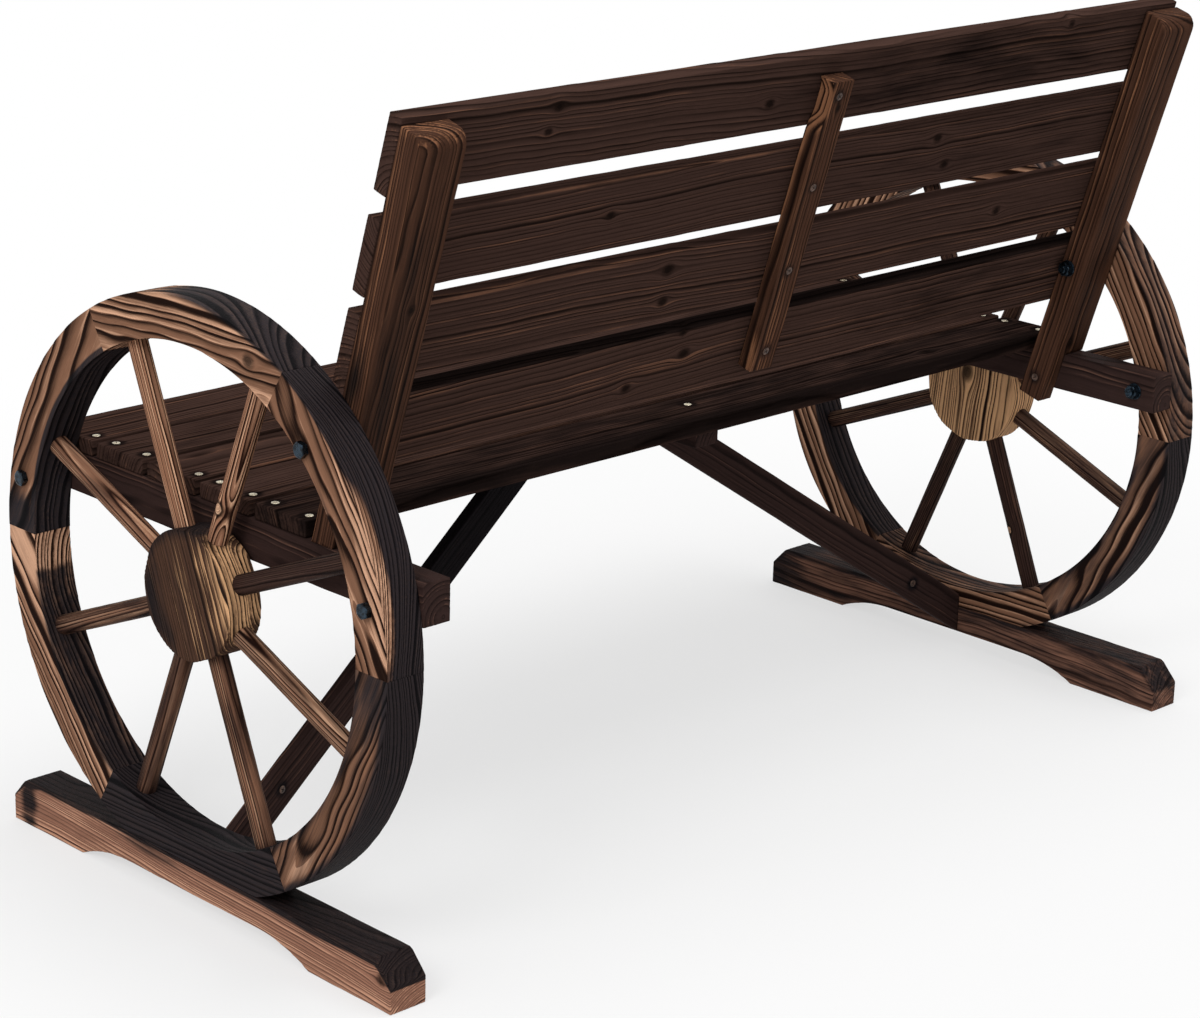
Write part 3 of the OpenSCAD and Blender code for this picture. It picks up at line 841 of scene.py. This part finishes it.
def brace(side, timber, burn_and_light):
    """A board from a wheel to the middle of the seat, cut off upright at both ends."""
    sign = SIDES[side]
    axes = brace_axes(sign)
    node = side + "_brace"
    middle, size = measure(node, axes)
    made = block((size[0] + BRACE_SPARE, size[1], size[2]), BRACE_STEPS, BRACE_EASE)
    turn = Matrix(axes.tolist())
    planes = (((sign * wheel_inner, 0, 0), (sign, 0, 0)),
              ((sign * centre_side, 0, 0), (-sign, 0, 0)),
              ((0, 0, rail_top), (0, 0, 1)))
    for place, outward in planes:
        geometry = made.verts[:] + made.edges[:] + made.faces[:]
        cut_place = turn @ (Vector(place) - Vector(middle))
        bmesh.ops.bisect_plane(made, geom=geometry, clear_outer=True, plane_co=cut_place,
                               plane_no=turn @ Vector(outward))
        bmesh.ops.holes_fill(made, edges=[e for e in made.edges if e.is_boundary], sides=0)
    wooden(node, to_mesh(node, made), axes, middle, size, timber, burn_and_light, "frame_wood",
           depth=BRACE_RELIEF)


# Painted shade: the left brace is darker towards its upper end, under the seat, set as a char dab
brace("left", Timber(44, 3.4, (34, 40), (0.004, 0.0), 2.0),
      BurnAndPaintedLight(0.2, 0.16, (((220, 0, 0), (330, 90, 60), 1.1),)))
brace("right", Timber(45, 3.4, (-36, 40), (0.004, 0.0), 2.0), BurnAndPaintedLight(0.26, 0.06))


# Feet

FOOT_ARCH = 16.0
ARCH_LENGTH = 330.0
ARCH_END = 70.0
BEVEL_LENGTH = 19.0
BEVEL_HEIGHT = 20.5
FOOT_STEPS = (140, 36, 32)
FOOT_EASE = 1.3

# Rows of points this near a corner, in steps, are drawn to it, so that the corner stays crisp
NEAR_CORNER = 0.45
LEFT_OVER = 0.05


def foot_shape(size):
    """Arches a foot's underside and bevels the top of its ends."""
    half = size[0] / 2
    step = size[0] / FOOT_STEPS[0]
    radius = (ARCH_END ** 2 + FOOT_ARCH ** 2) / (2 * FOOT_ARCH)

    def shape(points):
        run = points[:, 0].copy()
        for corner in (half - BEVEL_LENGTH, ARCH_LENGTH / 2, ARCH_LENGTH / 2 - ARCH_END):
            for sign in (-1, 1):
                close = np.abs(run - sign * corner) < step * NEAR_CORNER
                run[close] = sign * corner + (run[close] - sign * corner) * LEFT_OVER
        far = np.abs(run)
        reach = np.clip(far - (ARCH_LENGTH / 2 - ARCH_END), 0, ARCH_END)
        arch = FOOT_ARCH - radius + np.sqrt(radius ** 2 - reach ** 2)
        bottom = np.maximum(np.where(far < ARCH_LENGTH / 2, arch, 0), 0)
        top = size[1] - BEVEL_HEIGHT * np.clip((far - (half - BEVEL_LENGTH)) / BEVEL_LENGTH, 0, 1)
        share = points[:, 1] / size[1] + 0.5
        height = bottom + share * (top - bottom) - size[1] / 2
        return np.stack([run, height, points[:, 2]], 1)
    return shape


REAR_TOP = ((200, 23, 0), (330, 9, 200), 1.5)
WHOLE_TOP = ((0, 23, 0), (2000, 6, 200), 0.9)
FEET = {
    "left": (Timber(51, 2.4, (48, 20), (0.02, 0.01), 3.0, ((262, 6, 5),)),
             BurnAndPaintedLight(0.1, 0.36,
                  (REAR_TOP, WHOLE_TOP, ((-250, 0, 20), (20, 60, 30), 0.7),
                   ((-60, 12, 20), (90, 18, 20), 0.45), ((150, 16, 20), (70, 16, 20), 0.3)),
                  (((0, -18, 20), (900, 14, 14), 0.3), ((-190, 16, 20), (60, 14, 20), 0.3)))),
    "right": (Timber(52, 3.6, (42, 26), (0.02, 0.012), 4.0),
              BurnAndPaintedLight(0.58, -0.2,
                   (((0, 23, 0), (2000, 9, 200), 0.2), ((-274, 0, 0), (60, 60, 60), 0.3)),
                   (((274, 10, 0), (30, 30, 60), 0.3),))),
}
for side, (timber, burn_and_light) in FEET.items():
    node = side + "_foot"
    middle, size = measure(node, FRONT_TO_BACK)
    mesh = to_mesh(node, block(size, FOOT_STEPS, FOOT_EASE))
    wooden(node, mesh, FRONT_TO_BACK, middle, size, timber, burn_and_light, "foot_wood",
           shape=foot_shape(size))


# Wheels

wheel_middle = (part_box("left_hub")[0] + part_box("left_hub")[1]) / 2 / MM
left_felloes = [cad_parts[f"left_felloe_{n}"].data for n in range(1, 7)]
rim_points = np.concatenate([points_of(mesh) / MM for mesh in left_felloes])
rim_reach = np.hypot(rim_points[:, 1], rim_points[:, 2] - wheel_middle.z)
rim_inner, rim_outer = rim_reach.min(), rim_reach.max()
rim_middle = (rim_inner + rim_outer) / 2
rim_thickness = np.ptp(rim_points[:, 0])
foot_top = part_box("left_foot")[1].z / MM
flat_reach = wheel_middle.z - foot_top
FELLOE_ANGLE = math.radians(60)
FELLOE_STEPS = (100, 34, 32)
FELLOE_EASE = 0.5
BOTTOM_FELLOE = 5
WHEEL_RELIEF = 0.7


def bend_to_rim(flat_below):
    """Bends a block into a sixth of the rim, and cuts the bottom one flat for its foot."""
    def shape(points):
        angle = points[:, 0] / rim_middle
        share = points[:, 1] / (rim_outer - rim_inner) + 0.5
        outer = np.full(len(points), rim_outer)
        if flat_below:
            outer = np.minimum(outer, flat_reach / np.cos(angle))
        reach = rim_inner + share * (outer - rim_inner)
        up = reach * np.cos(angle) - rim_middle
        return np.stack([reach * np.sin(angle), up, points[:, 2]], 1)
    return shape


def felloe(side, number, timber, burn_and_light):
    """One of the six curved pieces of a rim, cut from a straight plank."""
    node = f"{side}_felloe_{number}"
    angle = (number - 0.5) * FELLOE_ANGLE
    outward = Vector((0, math.cos(angle), math.sin(angle)))
    onward = Vector((0, -math.sin(angle), math.cos(angle)))
    low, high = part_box(node)
    middle = np.array(outward * rim_middle) + np.array((0, 0, wheel_middle.z))
    middle[0] = (low.x + high.x) / 2 / MM
    size = np.array((rim_middle * FELLOE_ANGLE, rim_outer - rim_inner, rim_thickness))
    mesh = to_mesh(node, block(size, FELLOE_STEPS, FELLOE_EASE))
    wooden(node, mesh, rows(onward, outward, (1, 0, 0)), middle, size, timber, burn_and_light, "rim_wood",
           shape=bend_to_rim(number == BOTTOM_FELLOE), depth=WHEEL_RELIEF, wear=0.0, end_relief=0.0)


def tread(strength, inner=0.0, reach=9):
    """Char on the outside of the rim, and on its inside."""
    spread = (900, reach, 90)
    return (((0, 22, 0), spread, strength), ((0, -22, 0), spread, inner))


FELLOES = {
    ("left", 1): (Timber(61, 2.8, (20, 52), (0.03, 0.02), 3),
                  BurnAndPaintedLight(0.05, 0.2, tread(1.1, 0.2, 6) + (((20, -18, 14), (60, 6, 16), 0.35),
                                                        ((-50, 22, 20), (100, 14, 16), -1.6)),
                       (((-40, 14, 20), (110, 16, 18), 0.8),))),
    ("left", 2): (Timber(62, 5.0, (50, 34), (0.03, 0.0), 3, ((-90, -16, 6),)),
                  BurnAndPaintedLight(-0.05, 0.46, tread(0.4) + (((-70, 22, -4), (130, 10, 40), 1.3),), ())),
    ("left", 3): (Timber(63, 7.0, (46, 36), (0.02, 0.0), 2),
                  BurnAndPaintedLight(0.05, 0.24, tread(0.3, 1.5) + (((122, 0, 16), (44, 40, 24), 0.8),),
                       (((0, -12, 20), (60, 5, 8), 0.4),))),
    ("left", 4): (Timber(64, 4.2, (46, 40), (0.16, 0.0), 2),
                  BurnAndPaintedLight(-0.05, 0.45, tread(0.3, 0.8) + (((-122, -20, 0), (34, 24, 60), -1.6),),
                       (((-112, 0, 10), (50, 40, 40), 0.6),))),
    ("left", 5): (Timber(65, 3.6, (70, 30), (0.02, 0.0), 2),
                  BurnAndPaintedLight(0.95, 0.0, tread(0.3, 0.4), arris=0.1)),
    ("left", 6): (Timber(66, 2.8, (24, 50), (0.05, 0.0), 3),
                  BurnAndPaintedLight(0.38, 0.06, tread(0.5, 0.3) + (((112, 6, 6), (56, 36, 40), 0.35),),
                       (((-90, 8, 14), (60, 16, 20), 0.35),))),
    ("right", 1): (Timber(71, 5.6, (-50, 26), (0.03, 0.0), 3), BurnAndPaintedLight(0.1, 0.3, tread(0.5, 0.2))),
    ("right", 2): (Timber(72, 6.4, (56, 22), (0.02, 0.0), 3), BurnAndPaintedLight(0.2, 0.25, tread(0.5, 0.3))),
    ("right", 3): (Timber(73, 5.4, (-44, 26), (0.04, 0.0), 3), BurnAndPaintedLight(0.02, 0.4, tread(0.5, 0.4))),
    ("right", 4): (Timber(74, 5.2, (50, 38), (0.02, 0.0), 2), BurnAndPaintedLight(0.0, 0.45, tread(0.5, 1.3))),
    ("right", 5): (Timber(75, 5.0, (70, 30), (0.01, 0.0), 2), BurnAndPaintedLight(0.1, 0.32, tread(0.4, 0.5))),
    ("right", 6): (Timber(76, 4.2, (30, 36), (0.03, 0.01), 3),
                   BurnAndPaintedLight(0.5, 0.06, tread(0.5, 0.3), (((20, 6, 20), (60, 14, 30), 0.3),))),
}
for (side, number), (timber, burn_and_light) in FELLOES.items():
    felloe(side, number, timber, burn_and_light)


# How far a hub is out of round: its even inset, then lobes and how far each swings
HUB_INSET = 0.9
HUB_LOBES = ((5, 0.35), (8, 0.25), (11, 0.3))
HUB_STEPS = (90, 90, 20)
HUB_EASE = 1.5


def hub(side, lean, flat, timber, burn_and_light):
    """A thick disc with the grain across its face, a little out of round and flatter below."""
    node = side + "_hub"
    tilt = math.radians(lean)
    low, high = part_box(node)
    middle = np.array((low + high) / 2 / MM)
    across = (high.y - low.y) / MM
    size = np.array((across, across, (high.x - low.x) / MM))

    def shape(points):
        square = points[:, :2]
        far = np.maximum(np.abs(square).max(1), 1e-9)
        disc = square * (far / np.maximum(np.linalg.norm(square, axis=1), 1e-9))[:, None]
        turn = np.arctan2(disc[:, 1], disc[:, 0])
        inset = HUB_INSET + flat * np.clip(-np.cos(turn), 0, 1) ** 5
        for lobes, swing in HUB_LOBES:
            inset = inset + swing * np.sin(lobes * turn + timber.starts[lobes])
        disc = disc * (1 - inset / across * 2 * np.clip(far / across * 2, 0, 1) ** 4)[:, None]
        return np.column_stack([disc, points[:, 2]])

    mesh = to_mesh(node, block(size, HUB_STEPS, HUB_EASE, faces_only=True))
    rise, run = math.sin(tilt), math.cos(tilt)
    axes = rows((0, rise, run), (0, -run, rise), (1, 0, 0))
    wooden(node, mesh, axes, middle, size, timber, burn_and_light, "hub_wood", shape=shape,
           depth=WHEEL_RELIEF, wear=0.2, end_relief=1.0)


hub("left", -22, 4.0, Timber(81, 3.5, (60, 20), (0.03, 0.0), 3),
    BurnAndPaintedLight(0.32, 0.12, (((66, 0, 0), (16, 90, 60), 0.5), ((0, 0, -20), (90, 90, 16), 0.2),
                      ((0, 50, 10), (90, 18, 40), 0.35)),
         (((0, -58, 4), (90, 34, 40), 0.75), ((0, 0, 20), (80, 18, 20), 0.35))))
# Painted light: the far hub's low char and high brightness lift it out of the shade it stands in
hub("right", 2, 1.0, Timber(82, 3.4, (60, 20), (0.02, 0.0), 3, ((16, 6, 8),)),
    BurnAndPaintedLight(-0.1, 0.8, (), (((0, -50, 4), (90, 26, 40), 0.4),)))

SPOKE_SIDES = 88
SPOKE_STEPS = 44
SPOKE_RINGS = (0.06, 0.16, 0.3, 0.4)
ALONG_X = Matrix.Rotation(math.pi / 2, 4, "Y")
SPOKE_SEED = {"left": 90, "right": 110}
SPOKE_KNOTS = {("left", 2): ((-46, 1, 5.5),), ("right", 7): ((20, -3, 4),)}
SPOKE_CHAR = {"left": (1.0, 0.25, -0.5, 0.5, 0.66, 0.7, 0.6, 0.56),
              "right": (0.6, 0.7, 0.7, 0.75, 0.75, 0.85, 0.85, 0.72)}


def spoke(side, number):
    """A round rod between a hub and its rim."""
    node = f"{side}_spoke_{number}"
    low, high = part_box(node)
    outward = (low + high) / 2 / MM - wheel_middle
    outward.x = 0
    outward.normalize()
    axes = rows(outward, (0, -outward.z, outward.y), (1, 0, 0))
    middle, size = measure(node, axes)
    mesh = to_mesh(node, rod(*size[:2], SPOKE_SIDES, SPOKE_STEPS, SPOKE_RINGS, ALONG_X))
    seed = SPOKE_SEED[side] + number

    # Each spoke has its own pith, width of rings, tilt and brightness
    spin = np.random.default_rng(seed).uniform(-1, 1, 4)
    pith = (math.copysign(24 + 16 * abs(spin[0]), spin[0]), 22 * spin[1])
    timber = Timber(seed, 1.8 + 0.3 * spin[2], pith, (0.02 * spin[2], 0.02 * spin[3]), 1.0,
                    SPOKE_KNOTS.get((side, number), ()), ripple=0.04)
    burn_and_light = BurnAndPaintedLight(SPOKE_CHAR[side][number - 1], 0.42 + 0.12 * spin[1], arris=0.0, end_char=0.3)
    wooden(node, mesh, axes, middle, size, timber, burn_and_light, "spoke_wood", depth=0.5, wear=0.0)


for side in SIDES:
    for number in range(1, 9):
        spoke(side, number)


# Fasteners, with their sizes in millimetres

HEX_WIDTH = 13.0
HEX_SIDES = 48
HEX_STEPS = 4
HEX_RINGS = (0.12, 0.12, 0.3)
HEAD_HEIGHT = 5.3
NUT_HEIGHT = 6.5
BOLT_TAIL = 3.0
WASHER_THICKNESS = 1.6
HEX_CHAMFER = math.tan(math.radians(30))
ROUND_SHARE = 0.94


def hexagon(name, height):
    """A hexagonal head or nut with its corners chamfered, standing on the origin along Z."""
    mesh = rod(1, 2, HEX_SIDES, HEX_STEPS, HEX_RINGS)
    for vert in mesh.verts:
        angle = math.atan2(vert.co.y, vert.co.x) % (math.pi / 3) - math.pi / 6
        corner = HEX_WIDTH / 2 / math.cos(angle)
        reach = math.hypot(vert.co.x, vert.co.y) * corner
        top = height - max(0, reach - HEX_WIDTH / 2 * ROUND_SHARE) * HEX_CHAMFER
        vert.co = Vector((vert.co.x * corner, vert.co.y * corner, (vert.co.z + 0.5) * top)) * MM
    return to_mesh(name, mesh)


def join_copies(name, copies):
    """One mesh from pairs of a mesh and the matrix that places its copy."""
    whole = bmesh.new()
    for mesh, spot in copies:
        copy = mesh.copy()
        copy.transform(spot)
        whole.from_mesh(copy)
        bpy.data.meshes.remove(copy)
    bmesh.ops.recalc_face_normals(whole, faces=whole.faces)
    return to_mesh(name, whole)


def facing(direction, place):
    """Turns Z to a direction and moves to a place given in millimetres."""
    turn = Vector(direction).to_track_quat("Z", "Y").to_matrix().to_4x4()
    return Matrix.Translation(Vector(place) * MM) @ turn


def lathe(name, outline, sides=24):
    """A turned shape from its outline, (reach, height) in millimetres, round Z."""
    mesh = bmesh.new()
    verts = [mesh.verts.new((reach * MM, 0, height * MM)) for reach, height in outline]
    edges = [mesh.edges.new(pair) for pair in zip(verts, verts[1:])]
    bmesh.ops.spin(mesh, geom=verts + edges, cent=(0, 0, 0), axis=(0, 0, 1), dvec=(0, 0, 0),
                   angle=2 * math.pi, steps=sides, use_merge=True, use_duplicate=False)
    bmesh.ops.remove_doubles(mesh, verts=mesh.verts, dist=1e-7)
    bmesh.ops.recalc_face_normals(mesh, faces=mesh.faces)
    return to_mesh(name, mesh)


SCREW_HEAD = 7.6
SCREW_SHANK = 4.0
CROSS_LENGTH = 4.2
CROSS_WIDTH = 0.85
CROSS_DEPTH = 1.2


def screw(length):
    """A countersunk screw with a cross in its head, pointing down Z from its top at the origin."""
    edge, core = SCREW_HEAD / 2, SCREW_SHANK / 2
    outline = [(0, 0), (edge * 0.6, -0.02), (edge - 0.25, -0.12), (edge, -0.4), (core, -2.8),
               (core * 0.9, -4), (core * 0.9, 5 - length), (0, -length)]
    mesh = lathe("screw", outline)
    for arm_size in ((CROSS_LENGTH, CROSS_WIDTH), (CROSS_WIDTH, CROSS_LENGTH)):
        arm = bmesh.new()
        bmesh.ops.create_cube(arm, size=MM)
        bmesh.ops.scale(arm, vec=(*arm_size, 2 * CROSS_DEPTH), verts=arm.verts)
        mesh = cut_away(mesh, arm)
    return mesh


BRIGHT_SCREWS = ("seat_screws", "foot_screws")
for node, found in SCREWS.items():
    turns = np.random.default_rng(7).uniform(0, math.pi, len(found))
    whole_screw = screw(found[0][2])
    copies = [(whole_screw, facing(-way, top) @ Matrix.Rotation(turn, 4, "Z"))
              for (way, top, length), turn in zip(found, turns)]
    screws = join_copies(node, copies)
    screws.shade_smooth()
    if node in BRIGHT_SCREWS:
        add_piece(node + "_steel", screws, BRIGHT_STEEL, [node])
    else:
        add_piece(node + "_steel", screws, BROWNED_STEEL, [node])


WASHER_OUTLINE = [(4.3, 0), (8.2, 0), (8.5, 0.3), (8.5, 1.3), (8.2, 1.6), (4.3, 1.6), (4.3, 0)]
INTO_HEAD = 1.0


def bolts():
    """Hexagon bolts through the rims, their nuts and their washers."""
    head, nut = hexagon("head", HEAD_HEIGHT), hexagon("nut", NUT_HEIGHT)
    washer = lathe("washer", WASHER_OUTLINE, 40)
    found = islands("rim_bolts")
    turns = np.random.default_rng(8).uniform(0, math.pi / 3, len(found))
    copies = {"rim_bolts": [], "rim_nuts": [], "rim_washers": []}
    for island, turn in zip(found, turns):
        sign = 1 if island.mean(0)[0] > 0 else -1
        outer, tail = np.abs(island[:, 0]).max() - HEAD_HEIGHT, np.abs(island[:, 0]).min()
        y, z = (island.min(0)[1:] + island.max(0)[1:]) / 2
        turned = Matrix.Rotation(turn, 4, "Z")
        reach = outer - tail + INTO_HEAD
        shank = lathe("shank", [(0, 0), (3.4, 0), (4, 0.8), (4, reach), (0, reach)])
        nut_face = tail + BOLT_TAIL + NUT_HEIGHT
        for node, mesh, way, x, spin in (
                ("rim_bolts", head, sign, outer, turned),
                ("rim_bolts", shank, sign, tail, Matrix()),
                ("rim_nuts", nut, -sign, nut_face, turned),
                ("rim_washers", washer, -sign, nut_face + WASHER_THICKNESS, Matrix())):
            copies[node].append((mesh, facing((way, 0, 0), (sign * x, y, z)) @ spin))
    for node, placed in copies.items():
        add_piece(node + "_steel", join_copies(node, placed), BLACK_STEEL, [node])


bolts()
for node in ("rim_dowels", "brace_dowels"):
    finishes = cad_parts[node].data.materials
    finishes.clear()
    finishes.append(DOWEL_WOOD)


# Floor and light

# How white the floor is under the bench, and between which distances it turns plain white
SHADED_WHITE = 0.62
SHADOW_FADE = (0.6, 1.6)
FLOOR_SIZE = 40


def seen_plainly(f):
    """1 for what the camera sees, also in metal, and 0 for light that falls on the bench."""
    kinds = ("Is Camera Ray", "Is Glossy Ray", "Is Transmission Ray")
    camera, gloss, glass = (f.add("LightPath", output=kind) for kind in kinds)
    return least(camera + gloss + glass, 1)


def floor():
    """White where the camera sees it, with a soft shadow close to the bench."""
    f = Finish("pale_floor")
    place = f.add("TexCoord", output="Object")
    cloud = f.noise(place, 3.0, 3.0)
    far = f.add("VectorMath", {"operation": "LENGTH"}, {0: place}, output="Value")
    white = SHADED_WHITE + (1 - SHADED_WHITE) * f.rise(far, *SHADOW_FADE)
    sockets = {"Base Color": srgb(220, 220, 220), "Specular IOR Level": 0.0,
               "Roughness": 0.9 + (cloud - 0.5) * 0.1}
    paper = f.add("BsdfPrincipled", None, sockets)
    shine = f.add("Emission", None, {"Color": (1, 1, 1, 1), "Strength": 1.0})
    surface = f.add("MixShader", None, {0: seen_plainly(f) * white, 1: paper, 2: shine})
    f.add("OutputMaterial", None, {"Surface": surface})
    mesh = bmesh.new()
    bmesh.ops.create_grid(mesh, x_segments=4, y_segments=4, size=FLOOR_SIZE)
    ground = bpy.data.objects.new("floor", to_mesh("floor", mesh))
    ground.data.materials.append(f.material)
    scene.collection.objects.link(ground)


def lamp(name, place, aim, size, power):
    """A round lamp, so many metres wide and watts strong, that points at its aim."""
    light = bpy.data.lights.new(name, "AREA")
    light.shape = "DISK"
    light.size = size
    light.energy = power
    thing = bpy.data.objects.new(name, light)
    thing.location = place
    thing.rotation_euler = (Vector(place) - Vector(aim)).to_track_quat("Z", "Y").to_euler()
    scene.collection.objects.link(thing)


SKY_LIGHT = 0.75


def sky():
    """Even white light, and plain white where the camera sees past the floor."""
    studio = bpy.data.worlds.new("studio")
    studio.use_nodes = True
    scene.world = studio
    f = Finish("sky", studio.node_tree)
    strength = SKY_LIGHT + (1 - SKY_LIGHT) * seen_plainly(f)
    light = f.add("Background", None, {"Color": (1, 1, 1, 1), "Strength": strength})
    f.add("OutputWorld", None, {"Surface": light})


make_camera()
floor()
sky()
lamp("key", (3.2, 1.0, 2.6), (0, 0, 0.35), 1.6, 60)
lamp("top", (-0.5, 0.5, 3.4), (0, 0, 0.3), 2.5, 60)
